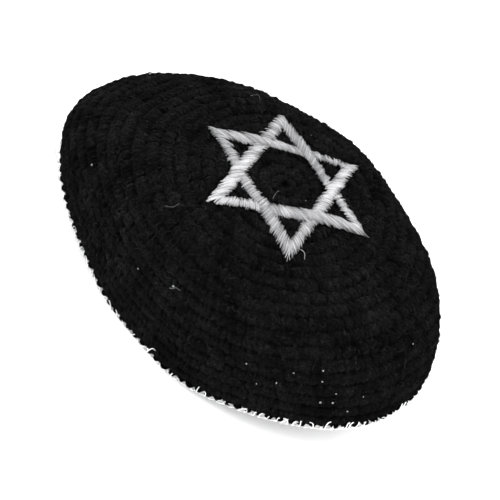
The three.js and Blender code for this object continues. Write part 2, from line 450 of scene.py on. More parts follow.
def add_strands(surface, paths, sides, wide, high, corners, tone, closed=False, crest=0.0):
    """Round strands along many paths at once: paths and sides are tables of strand, step and axis.

    A point of a strand is its path's point plus wide times the cosine of the angle along the side vector,
    plus high times the sine of it along the cross product of the path's tangent and that side. An open
    strand ends in a low cone. The map is the angle in turns and the run along the path in millimetres. The
    tone is one for each strand, or with a crest one for each step, with painted light on the upper side and
    painted shade on the lower side by the crest."""
    count, steps = paths.shape[:2]
    if closed:
        tangents = unit(np.roll(paths, -1, 1) - np.roll(paths, 1, 1))
    else:
        tangents = unit(np.gradient(paths, axis=1))
    sides = unit(sides - tangents * (sides * tangents).sum(-1, keepdims=True))
    ups = np.cross(tangents, sides)
    angle = np.arange(corners) * math.tau / corners
    wide, high = (np.broadcast_to(size, (count, steps))[..., None, None] for size in (wide, high))
    rings = (paths[:, :, None] + wide * np.cos(angle)[:, None] * sides[:, :, None]
             + high * np.sin(angle)[:, None] * ups[:, :, None])
    leaps = np.linalg.norm(np.diff(paths, axis=1), axis=-1)
    run = np.concatenate((np.zeros((count, 1)), np.cumsum(leaps, axis=1)), axis=1) / MM
    here = np.arange(count)[:, None, None] * (steps * corners + (0 if closed else 2))
    spans = steps if closed else steps - 1
    first = np.arange(spans)[:, None]
    second = (first + 1) % steps
    j = np.arange(corners)
    k = (j + 1) % corners
    quads = np.stack([here + ring * corners + turn for ring, turn in
                      ((first, j), (first, k), (second, k), (second, j))], axis=-1).reshape(-1, 4)
    if closed:
        run = np.concatenate((run, run[:, -1:] + leaps[:, :1] / MM), axis=1)
    at_first, at_second = (run[:, part, None] for part in (slice(0, spans), slice(1, spans + 1)))
    maps = square_map(j / corners, (j + 1) / corners, at_first, at_second)
    tone = np.asarray(tone, float)
    tone = tone[:, None] if tone.ndim == 1 else tone
    # painted light and shade: the crest makes the upper side of the strand paler and the lower side darker
    if crest:
        tone = np.clip(tone[..., None] + crest * (np.sin(angle) - 0.5), 0, 1)
        tone = np.concatenate((tone.reshape(count, -1), np.zeros((count, 2))), axis=1)
    if closed:
        surface.add(rings.reshape(count, -1, 3), quads, maps, tone)
        surface.finish_part()
        return
    reach = 0.5 * high[:, :, 0]
    poles = np.stack((paths[:, 0] - reach[:, 0] * tangents[:, 0],
                      paths[:, -1] + reach[:, -1] * tangents[:, -1]), axis=1)
    points = np.concatenate((rings.reshape(count, -1, 3), poles), axis=1)
    surface.add(points, quads, maps, tone)
    strand = np.arange(count)[:, None] * (steps * corners + 2)
    pole = strand + steps * corners
    last = strand + (steps - 1) * corners
    caps = np.stack((np.stack((pole + 0 * j, strand + k, strand + j), -1),
                     np.stack((pole + 1 + 0 * j, last + j, last + k), -1)), axis=1).reshape(-1, 3)
    surface.add(None, caps, np.zeros((len(caps), 3, 2)), None)
    surface.finish_part()


class Nodes:
    """Short ways to place and join the nodes of one node tree."""

    def __init__(self, tree):
        self.tree = tree

    def add(self, kind, label="", **values):
        """A node of a kind with its own settings. Its inputs are set or linked by link."""
        node = self.tree.nodes.new(kind)
        node.label = label
        for name, value in values.items():
            setattr(node, name, value)
        return node

    def link(self, node, **inputs):
        """Sets or links inputs by name, with _ for a space, or by number after an i. Gives the node back."""
        for name, value in inputs.items():
            socket = node.inputs[int(name[1:]) if name[1:].isdigit() else name.replace("_", " ")]
            if isinstance(value, bpy.types.NodeSocket):
                self.tree.links.new(value, socket)
            else:
                socket.default_value = value
        return node

    def tone(self):
        """The tone of the strand that a face belongs to."""
        return self.add("ShaderNodeAttribute", "tone of the strand", attribute_name="tone").outputs["Fac"]

    def place(self):
        """The place on the piece, in metres."""
        return self.add("ShaderNodeTexCoord", "place on the piece").outputs["Object"]

    def math(self, operation, first, second=0.0, label=""):
        """The result of one Math node."""
        node = self.add("ShaderNodeMath", label, operation=operation)
        return self.link(node, i0=first, i1=second).outputs[0]

    def noise(self, place, scale, detail, label=""):
        """The value of a noise over a place."""
        node = self.add("ShaderNodeTexNoise", label)
        return self.link(node, Vector=place, Scale=scale, Detail=detail, Roughness=0.6).outputs[0]

    def ramp(self, value, low, high, from_low=0.0, from_high=1.0, label=""):
        """A value carried from one range to another."""
        node = self.add("ShaderNodeMapRange", label)
        return self.link(node, Value=value, From_Min=from_low, From_Max=from_high, To_Min=low,
                         To_Max=high).outputs[0]

    def blend(self, factor, first, second, label=""):
        """A colour between two others."""
        node = self.add("ShaderNodeMix", label, data_type="RGBA")
        return self.link(node, i0=factor, i6=first, i7=second).outputs[2]


def spun_thread_group():
    """Node group of a spun thread. Its relief is the absolute sine of the turns round the strand times the
    plies plus the run along it over the lay, so that each ply is a ridge. Its fibre is a noise drawn out
    along the plies, added to a finer one in the place on the piece and stretched to run from 0 to 1."""
    group = bpy.data.node_groups.new("spun_thread", "ShaderNodeTree")
    for name, kind in (("Strand Map", "NodeSocketVector"), ("Place", "NodeSocketVector"),
                       ("Plies", "NodeSocketFloat"), ("Turns per mm", "NodeSocketFloat"),
                       ("Fibre Share", "NodeSocketFloat"), ("Fibre Scale", "NodeSocketFloat")):
        group.interface.new_socket(name, in_out="INPUT", socket_type=kind)
    for name in ("Relief", "Fibre"):
        group.interface.new_socket(name, in_out="OUTPUT", socket_type="NodeSocketFloat")
    nodes = Nodes(group)
    given = nodes.add("NodeGroupInput").outputs
    split = nodes.link(nodes.add("ShaderNodeSeparateXYZ", "turn and run"), Vector=given["Strand Map"])
    round_it = nodes.math("MULTIPLY", split.outputs[0], given["Plies"], "plies round the strand")
    along_it = nodes.math("MULTIPLY", split.outputs[1], given["Turns per mm"], "twist along the strand")
    phase = nodes.math("MULTIPLY", nodes.math("ADD", round_it, along_it), math.pi, "phase")
    ridge = nodes.math("ABSOLUTE", nodes.math("SINE", phase), label="ply ridges")
    stretch = nodes.add("ShaderNodeCombineXYZ", "fibres lie along the plies")
    nodes.link(stretch, X=nodes.math("MULTIPLY", phase, 0.9),
               Y=nodes.math("MULTIPLY", split.outputs[1], 0.35))
    streak = nodes.noise(stretch.outputs[0], 1.6, 3.0, "fibre streaks")
    fuzz = nodes.noise(given["Place"], given["Fibre Scale"], 3.0, "fuzz")
    both = nodes.math("MULTIPLY", nodes.math("ADD", streak, fuzz), 0.5)
    fibre = nodes.ramp(both, 0.0, 1.0, 0.38, 0.62, "fibre")
    share = given["Fibre Share"]
    relief = nodes.math("ADD", nodes.math("MULTIPLY", ridge, nodes.math("SUBTRACT", 1.0, share)),
                        nodes.math("MULTIPLY", fibre, share), "relief")
    nodes.link(nodes.add("NodeGroupOutput"), Relief=relief, Fibre=fibre)
    return group


def shade(colour, share):
    """A colour times a share, at most white, as a socket takes it."""
    return (*(min(1.0, share * c) for c in colour), 1)


def new_material(name):
    """A new material, with the helper for its nodes and its shader, which is joined to the output."""
    material = bpy.data.materials.new(name)
    material.use_nodes = True
    nodes = Nodes(material.node_tree)
    material.node_tree.nodes.clear()
    shader = nodes.add("ShaderNodeBsdfPrincipled", "surface")
    nodes.link(nodes.add("ShaderNodeOutputMaterial"), Surface=shader.outputs[0])
    return material, nodes, shader


def spun_thread(nodes, plies, turns, fibre_share, fibre_scale):
    """The shared thread group placed in a material with its own values, and the place on the piece."""
    group = bpy.data.node_groups.get("spun_thread") or spun_thread_group()
    place = nodes.place()
    strand = nodes.add("ShaderNodeUVMap", "strand map", uv_map="strand").outputs[0]
    node = nodes.add("ShaderNodeGroup", "spun thread", node_tree=group)
    nodes.link(node, Strand_Map=strand, Place=place, Plies=plies, Turns_per_mm=turns,
               Fibre_Share=fibre_share, Fibre_Scale=fibre_scale)
    return place, node.outputs["Relief"], node.outputs["Fibre"]


def bump(nodes, height, depth, strength):
    """A normal from a height that stands for a depth in metres."""
    node = nodes.add("ShaderNodeBump", "thread relief")
    return nodes.link(node, Strength=strength, Distance=depth, Height=height).outputs[0]


def tangle(nodes, place):
    """A tangle of thin fibres, 1 on a fibre and 0 off it: the lines along which two warped noises pass
    through their middle value."""
    lines = []
    for scale, warp in ((800.0, 1.4), (1300.0, 2.2)):
        noise = nodes.add("ShaderNodeTexNoise", "warped noise")
        value = nodes.link(noise, Vector=place, Scale=scale, Detail=1.0, Distortion=warp).outputs[0]
        off = nodes.math("ABSOLUTE", nodes.math("SUBTRACT", value, 0.5), label="distance from the line")
        lines.append(nodes.ramp(off, 1.0, 0.0, 0.0, 0.04, "one fibre"))
    return nodes.math("MAXIMUM", *lines, "tangle")


def yarn_material(name, colour):
    """Matt fuzzy yarn: soft plies, fibre streaks, a tangle of fibres over them that is denser in some
    places than in others and painted pale as the glints that the fibres catch, most where the painted light
    of the crests is, and a slight bloom at grazing angles. The strand's tone brings in the painted light and
    shade of the stitches."""
    material, nodes, shader = new_material(name)
    place, relief, fibre = spun_thread(nodes, 3.0, 0.35, 0.6, 1500.0)
    patches = nodes.ramp(nodes.noise(place, 90.0, 3.0, "worn patches"), 0.0, 1.0, 0.35, 0.65)
    # the strand's tone holds a random tone as well as the painted light and painted shade of the stitches'
    # crests and grooves
    tone = nodes.tone()
    mixed = nodes.math("ADD", nodes.math("MULTIPLY", fibre, 0.4), nodes.math("MULTIPLY", patches, 0.1))
    factor = nodes.math("ADD", mixed, nodes.math("MULTIPLY", tone, 0.6), "paleness")
    # painted glints: the tangle's fibres are painted far paler than the yarn, for the light that they catch
    dark, pale, fibre_glint = (shade(colour, share) for share in (0.1, 1.7, 21.0))
    fuzz = tangle(nodes, place)
    # the painted fibre glints show most where the tone is highest, on the painted light of the crests
    crest = nodes.ramp(tone, 0.05, 1.0, 0.25, 0.75, "more fibres on the crests")
    shown = nodes.math("MULTIPLY", nodes.math("MULTIPLY", fuzz, crest), nodes.ramp(patches, 0.1, 0.8),
                       "fibres that show")
    paled = nodes.blend(shown, nodes.blend(factor, dark, pale, "yarn colour"), fibre_glint, "fibres over the yarn")
    height = nodes.math("ADD", relief, nodes.math("MULTIPLY", fuzz, 0.4), "yarn relief")
    nodes.link(shader, Base_Color=paled, Roughness=0.95, Specular_IOR_Level=0.0, Sheen_Weight=0.0072,
               Sheen_Roughness=0.3, Normal=bump(nodes, height, 0.0003, 0.9))
    return material


def hair_material(name, colour):
    """Loose fibres, matt and from nearly black to pale, so that only a few of them catch the eye."""
    material, nodes, shader = new_material(name)
    fading = nodes.ramp(nodes.noise(nodes.place(), 700.0, 2.0, "fading"), 0.5, 1.0, 0.3, 0.7)
    faded = nodes.math("MULTIPLY", nodes.math("POWER", nodes.tone(), 3.0), fading, "paleness")
    paled = nodes.blend(faded, shade(colour, 0.05), shade(colour, 1), "fibre colour")
    nodes.link(shader, Base_Color=paled, Roughness=0.8, Specular_IOR_Level=0.0)
    return material


def thread_material(name, colour, plies, turns, roughness):
    """Lustrous thread: fine twist, soft highlights and changes of grey from strand to strand, which on the
    star are mostly painted highlight and painted shade.
    """
    material, nodes, shader = new_material(name)
    place, relief, fibre = spun_thread(nodes, plies, turns, 0.3, 2600.0)
    # the strand's tone: a random tone, and on the star painted highlight and painted shade as well
    tone_and_painted_shine = nodes.math("MULTIPLY", nodes.tone(), 0.6)
    factor = nodes.math("ADD", nodes.math("MULTIPLY", fibre, 0.45), tone_and_painted_shine)
    paled = nodes.blend(factor, shade(colour, 0.1), shade(colour, 2.3), "thread colour")
    nodes.link(shader, Base_Color=paled, Metallic=0.3,
               Roughness=nodes.ramp(fibre, roughness - 0.06, roughness + 0.1, label="lustre"),
               Normal=bump(nodes, relief, 0.00006, 0.6))
    return material


def made_material(name, make, *values):
    """The material of that name, made on first use."""
    return bpy.data.materials.get(name) or make(name, *values)


def black_yarn(scene):
    return made_material("fuzzy_black_yarn", yarn_material, scene.cap_yarn.colour)


def silver_thread(scene):
    return made_material("satin_silver", thread_material, scene.cap_star.colour, 2.0, 0.9, 0.4)


def edging_thread(scene):
    return made_material("twisted_edging", thread_material, scene.cap_edging.colour, 2.0, 1.1, 0.5)


def loose_hair(scene):
    return made_material("loose_fibre", hair_material, scene.cap_strays.colour)


class CAP_OT_wall(bpy.types.Operator):
    """Adds the crocheted wall that lies under the stitches and shows inside the cap"""

    bl_idname = "cap.wall"
    bl_label = "Crocheted Wall"

    COLUMNS = 640
    OUTER_RINGS = 20
    INNER_RINGS = 88
    SUNK = 1.75 * MM
    RIB_DEPTH = 0.75 * MM
    # How far the wall stops short of the rim, in rounds
    EDGE_CUT = 0.2
    # Strand map of the wall: twists all round it, and millimetres of the way down for one turn
    TWISTS = 110
    TURN_RUN = 5.5

    def inner_relief(self, cloth, direction, share, width):
        """Height of the wrong side's ribs: one arch across each round, cut into stitches by the absolute
        sine of their count times the part of the way round."""
        rounds = cloth.wall.rounds
        row = np.minimum((share * rounds).astype(int), rounds - 1)
        across = share * rounds - row
        relief = np.zeros(np.broadcast(direction, share).shape)
        for number in range(rounds):
            count, to_direction = cloth.round_directions(number, width)
            parts = np.linspace(0, 1, DIRECTIONS + 1)[:-1]
            part = np.interp(direction, to_direction(parts), parts, period=math.tau)
            stitch = np.abs(np.sin(math.pi * (part * count + 0.5 * across + STAGGER * number)))
            arch = np.sin(math.pi * np.clip(across, 0, 1)) ** 0.7
            relief = np.where(row == number, arch * (0.5 + 0.5 * stitch**0.6), relief)
        return relief

    def execute(self, context):
        wall = context.scene.cap_wall
        cloth = Cloth(wall)
        direction = np.arange(self.COLUMNS) * math.tau / self.COLUMNS
        outer = np.arange(1, self.OUTER_RINGS + 1)[:, None] / self.OUTER_RINGS
        inner = np.arange(self.INNER_RINGS, 0, -1)[:, None] / self.INNER_RINGS
        relief = self.inner_relief(cloth, direction[None], inner, context.scene.cap_yarn.stitch_width)
        inside = -wall.thickness + self.RIB_DEPTH * (0.6 - relief)
        shares = np.concatenate((outer, inner))
        shares = shares - self.EDGE_CUT / wall.rounds * (shares == 1)
        proud = np.concatenate((np.full((self.OUTER_RINGS, self.COLUMNS), -self.SUNK), inside))
        rings = cloth.at(direction[None], shares, proud)[0]
        poles = cloth.at(np.zeros(2), np.zeros(2), np.array((-self.SUNK, -wall.thickness)))[0]
        points = np.concatenate((rings.reshape(-1, 3), poles))
        ring_count = len(rings)
        first = np.arange(ring_count - 1)[:, None] * self.COLUMNS
        j = np.arange(self.COLUMNS)
        k = (j + 1) % self.COLUMNS
        quads = np.stack((first + j, first + self.COLUMNS + j, first + self.COLUMNS + k, first + k), -1)
        run = np.cumsum(np.concatenate(((0,), np.linalg.norm(np.diff(rings[:, 0], axis=0), axis=-1)))) / MM
        turns = run[:, None] / self.TURN_RUN
        around = j / self.COLUMNS * self.TWISTS
        maps = square_map(turns[:-1], turns[1:], around, around + self.TWISTS / self.COLUMNS)
        surface = Surface()
        surface.add(points, quads.reshape(-1, 4), maps, 0.35)
        last = (ring_count - 1) * self.COLUMNS
        pole = len(points) - 2
        fans = np.concatenate((np.stack((pole + 0 * j, j, k), -1),
                               np.stack((pole + 1 + 0 * j, last + k, last + j), -1)))
        surface.add(None, fans, np.zeros((len(fans), 3, 2)), None)
        surface.piece("crocheted_wall", black_yarn(context.scene), "black_yarn", "cap_shell")
        return {"FINISHED"}


class CAP_OT_stitches(bpy.types.Operator):
    """Adds the stitches of the rounds, two plump slanted legs of yarn each, and the last round's loops"""

    bl_idname = "cap.stitches"
    bl_label = "Stitches"

    # Last round of each of the three pieces that the stitches are made in
    PIECES = {"crown_stitches": 9, "side_stitches": 15, "rim_stitches": 20}
    SEED = 11
    # How far a leg reaches into the rounds beside its own, and where the first round's legs start, in rounds
    OVERLAP = 0.1
    FIRST_START = 0.22
    # Painted light and shade on the legs: how much paler the yarn is painted on a leg's middle and upper
    # side, and darker at its ends in the grooves between rounds and on its lower side
    PAINTED_SHADING = 0.35
    # The two legs of a stitch: place along the round in stitch widths, size, depth, and share of the lean
    LEGS = ({"shift": 0.0, "size": 1.0, "sink": 0.0, "lean": 1.0},
            {"shift": 0.5, "size": 0.93, "sink": 0.00012, "lean": 0.86})
    # Depth of a leg's middle under the cloth, half its width and half its height, in yarn radii
    BURIED = 0.93
    WIDE = 1.36
    HIGH = 0.92
    # Loops of the last round: radius of the half circle out past the rim and through the wall, how far it is
    # set back from the rim, and radius of the yarn there
    LOOP_OUT = 0.55 * MM
    LOOP_THROUGH = 0.85 * MM
    LOOP_BACK = 0.6 * MM
    LOOP_YARN = 1.22 * MM

    def legs(self, surface, cloth, yarn, number, rng):
        """Legs of one round. A leg crosses the round from the crown's side to the rim's, leaning along it,
        and is an arch that dips into the groove at both ends by the round's depth."""
        rounds = cloth.wall.rounds
        count, to_direction = cloth.round_directions(number, yarn.stitch_width)
        t = np.linspace(0, 1, YARN_SPANS + 1)
        start = self.FIRST_START if number == 0 else -self.OVERLAP
        across = start + (1 + self.OVERLAP - start) * t
        dip = np.abs(2 * np.clip(across, 0, 1) - 1) ** 2.3 + 2 * np.maximum(0, np.abs(2 * across - 1) - 1)
        shape = 1 - np.abs(2 * t - 1) ** 2.6
        sideways = 1.5 * yarn.unevenness / yarn.stitch_width
        for leg in self.LEGS:
            place = np.arange(count) + leg["shift"] + STAGGER * number + rng.normal(0, sideways, count)
            slant = yarn.slant * leg["lean"] * rng.normal(1, 0.1, (count, 1))
            bend = 0.07 * np.sin(math.tau * t) * rng.normal(1, 0.6, (count, 1))
            part = (place[:, None] + slant * (across - 0.5) + bend) / count
            radius = yarn.radius * leg["size"] * rng.normal(1, 0.06, (count, len(t))) * (0.52 + 0.48 * shape)
            if number == 0:
                radius = radius * np.clip(0.45 + 0.55 * across, 0, 1)
            height = (-self.BURIED * yarn.radius - leg["sink"]
                      - yarn.round_depth * rng.normal(1, 0.08, (count, 1)) * dip
                      + rng.normal(0, 0.7 * yarn.unevenness, (count, 1)))
            share = (number + across) / rounds + rng.normal(0, 0.03, (count, 1)) / rounds * (number > 0)
            share = np.minimum(share, 1.0)
            points, normal, along, down = cloth.at(to_direction(part), share, height)
            tangent = unit(np.gradient(points, axis=1))
            side = np.cross(normal, tangent)
            # painted shade: each leg's tone falls towards its ends, where it dips into the groove between
            # rounds; the crest paints its upper side paler and its lower side darker
            tone = rng.normal(0.5, 0.12, (count, 1)) + 2.3 * self.PAINTED_SHADING * (shape - 0.67)
            add_strands(surface, points, side, radius * self.WIDE, radius * self.HIGH, YARN_SIDES, tone,
                        crest=0.6 * self.PAINTED_SHADING)

    def rim_loops(self, surface, cloth, yarn, rng):
        """Loops that round off the wall's edge, a half circle from outside to inside for each stitch."""
        wall = cloth.wall
        count, to_direction = cloth.round_directions(wall.rounds - 1, yarn.stitch_width)
        part = (np.arange(count) + STAGGER * (wall.rounds - 1) + 0.25 + 0.5 * yarn.slant) / count
        angle = np.linspace(-0.15, 1.15, YARN_SPANS + 1) * math.pi
        length = np.mean(cloth.length)
        share = (1 + (-self.LOOP_BACK + self.LOOP_OUT * np.sin(angle)) / length
                 + rng.normal(0, 0.12 * MM, (count, 1)) / length)
        proud = -wall.thickness / 2 + self.LOOP_THROUGH * np.cos(angle)
        points, normal, along, down = cloth.at(to_direction(part)[:, None], share, proud)
        size = self.LOOP_YARN * rng.normal(1, 0.06, (count, 1)) * np.ones(len(angle))
        tone = np.clip(rng.normal(0.5, 0.2, count), 0, 1)
        add_strands(surface, points, along, 1.3 * size, size, YARN_SIDES, tone)

    def execute(self, context):
        scene = context.scene
        cloth = Cloth(scene.cap_wall)
        rng = np.random.default_rng(self.SEED)
        number = 0
        for name, last in self.PIECES.items():
            surface = Surface()
            while number < last:
                self.legs(surface, cloth, scene.cap_yarn, number, rng)
                number += 1
            if last == scene.cap_wall.rounds:
                self.rim_loops(surface, cloth, scene.cap_yarn, rng)
            surface.piece(name, black_yarn(scene), "black_yarn")
        return {"FINISHED"}


class CAP_OT_star(bpy.types.Operator):
    """Adds the embroidered star: six interlaced bars of satin strands over low padding"""

    bl_idname = "cap.star"
    bl_label = "Embroidered Star"

    SEED = 5
    LIFT_OVER = 0.5 * MM
    SINK_UNDER = 0.3 * MM
    # Spread of the strands' ends past the bar's edge, and height of the strands there
    UNEVEN = 0.52 * MM
    FOOT = 0.02 * MM
    # Share of the strands at which a slit opens, sunk and painted dark as the shade in a parting between
    # strands, and its depth
    SLITS = 0.05
    SLIT_DEPTH = 0.2 * MM
    # Start and length of the padding's run along a bar, in parts of the bar
    PADDED = (0.09, 0.82)

    def tip(self, star, number):
        """Place on the unrolled crown of the tip where a bar starts."""
        bar = STAR_BARS[number % len(STAR_BARS)]
        toward = math.radians(bar["toward"])
        return np.array((math.cos(toward), math.sin(toward))) * bar["reach"] * star.reach

    def raised(self, bar, part):
        """Lift along a bar: a smooth hump where it passes over another, a dip where it goes under one."""
        over, under = (np.exp(-((part - bar[side]) / 0.062) ** 4) for side in ("over", "under"))
        return self.LIFT_OVER * over - self.SINK_UNDER * under

    def along(self, bar, column, part):
        """One column of a bar's row at parts of its length: straight from place to place, then smoothed."""
        fine = np.linspace(0, 1, 129)
        line = np.interp(fine, np.linspace(0, 1, len(bar[column])), bar[column])
        line = np.convolve(np.pad(line, 10, mode="edge"), np.full(21, 1 / 21), mode="valid")
        return np.interp(part, fine, line)

    def edge(self, star, bar, side, part):
        """How far an edge of a bar lies inward from the line between its tips, the outer one with side -1
        and the inner one with side 1."""
        half = 0.5 * star.width_share * self.along(bar, "width", part)
        return (self.along(bar, "inset", part) + side * half) * MM

    def bundled(self, rng, count, width):
        """Random numbers of spread 1, one for each strand, alike for neighbours up to a bundle's width."""
        return np.convolve(rng.normal(0, 1, count + width - 1), np.full(width, width**-0.5), mode="valid")

    def add_bar(self, surface, cloth, star, number, rng):
        """One bar. A strand runs across it from the outer to the inner edge at the bar's lean, as an arch
        whose height is the sine of the way across to a power under one. The strands are spaced evenly
        square to their own direction, and end in small bundles that stand out of the edge or fall short."""
        bar = STAR_BARS[number]
        start, end = self.tip(star, number), self.tip(star, number + 2)
        length = np.linalg.norm(end - start)
        forward = (end - start) / length
        inward = np.array((forward[1], -forward[0]))
        leans = np.radians(bar["lean"])
        half = [0.5 * MM * star.width_share * bar["width"][place] for place in (0, -1)]
        fine = np.linspace(half[0] / math.tan(leans[0]), length + half[1] / math.tan(leans[-1]), 400)
        lean = np.interp(fine / length, LEAN_PLACES, leans)
        passed = np.concatenate(((0,), np.cumsum(np.sin(lean[1:]) * np.diff(fine)))) / star.strand_pitch
        count = int(passed[-1])
        middle = np.interp(np.arange(count) + 0.5, passed, fine)
        middle += rng.normal(0, 0.07 * MM, count)
        lean = np.interp(middle / length, LEAN_PLACES, leans) + rng.normal(0, 0.04, count)
        centre = self.along(bar, "inset", middle / length) * MM
        ends = []
        for side in (-1, 1):
            at = centre
            for _ in range(4):
                at = self.edge(star, bar, side, (middle + (at - centre) / np.tan(lean)) / length)
            bundles = self.bundled(rng, count, 7)
            uneven = self.UNEVEN * np.sin(lean) * (0.5 * bundles + rng.uniform(-2.6, 1.3, count))
            ends.append(at + side * uneven)
        t = np.linspace(0, 1, SATIN_SPANS + 1)
        across = ends[0][:, None] + t * (ends[1] - ends[0])[:, None]
        forth = middle[:, None] + (across - centre[:, None]) / np.tan(lean)[:, None]
        flat = start + forth[..., None] * forward + across[..., None] * inward
        arch = np.sin(math.pi * np.clip(t, 0.015, 0.985)) ** 0.36
        lift = self.raised(bar, middle / length)[:, None]
        slit = rng.uniform(0, 1, count) < self.SLITS
        slit = slit | np.roll(slit, 1)
        level = rng.normal(0, 0.06 * MM, count) - self.SLIT_DEPTH * slit
        height = self.FOOT + (star.height - self.FOOT) * arch + lift * (0.3 + 0.7 * arch) + level[:, None]
        points, normal, along, down = cloth.on_crown(flat, height)
        side = np.cross(normal, unit(np.gradient(points, axis=1)))
        shared = self.bundled(rng, count, 3)
        # painted highlight and painted shade: the strands are painted paler or darker along each bar as its
        # satin catches the light, with a random tone for each strand on top
        tone_and_painted_shine = np.interp(middle / length, LEAN_PLACES, bar["tone_and_painted_shine"])
        tone = np.clip(1.2 * tone_and_painted_shine - 0.1 + 0.08 * shared + rng.normal(0, 0.36, count), 0.0, 1)
        # painted shade: the strands at a slit are painted nearly black for the shade in the parting
        tone = tone * np.where(slit, 0.1, 1)
        radius = star.strand_radius * rng.normal(1, 0.1, (count, 1)) * (0.5 + 0.5 * arch)
        add_strands(surface, points, side, radius, radius, THREAD_SIDES, tone)
        self.add_padding(surface, cloth, star, bar, start, forward, inward, length)

    def add_padding(self, surface, cloth, star, bar, start, forward, inward, length):
        """Low flat roll of thread under the middle of a bar, thin at both ends."""
        part = np.linspace(self.PADDED[0], sum(self.PADDED), 49)
        ends = np.sin(math.pi * gone(part, *self.PADDED)) ** 0.35
        outer, inner = (self.edge(star, bar, side, part) for side in (-1, 1))
        flat = start + part[:, None] * length * forward + ((outer + inner) / 2)[:, None] * inward
        points, normal, along, down = cloth.on_crown(flat, 0.1 * MM + 0.9 * self.raised(bar, part))
        side = np.cross(normal, unit(np.gradient(points, axis=0)))
        add_strands(surface, points[None], side[None], (0.1 * MM + 0.36 * (inner - outer) * ends)[None],
                    (0.1 * MM + 0.4 * MM * ends)[None], 10, 0.1)

    def execute(self, context):
        scene = context.scene
        cloth = Cloth(scene.cap_wall)
        rng = np.random.default_rng(self.SEED)
        surface = Surface()
        for number in range(len(STAR_BARS)):
            self.add_bar(surface, cloth, scene.cap_star, number, rng)
        surface.piece("satin_star", silver_thread(scene), "silver_thread", "star_embroidery")
        return {"FINISHED"}


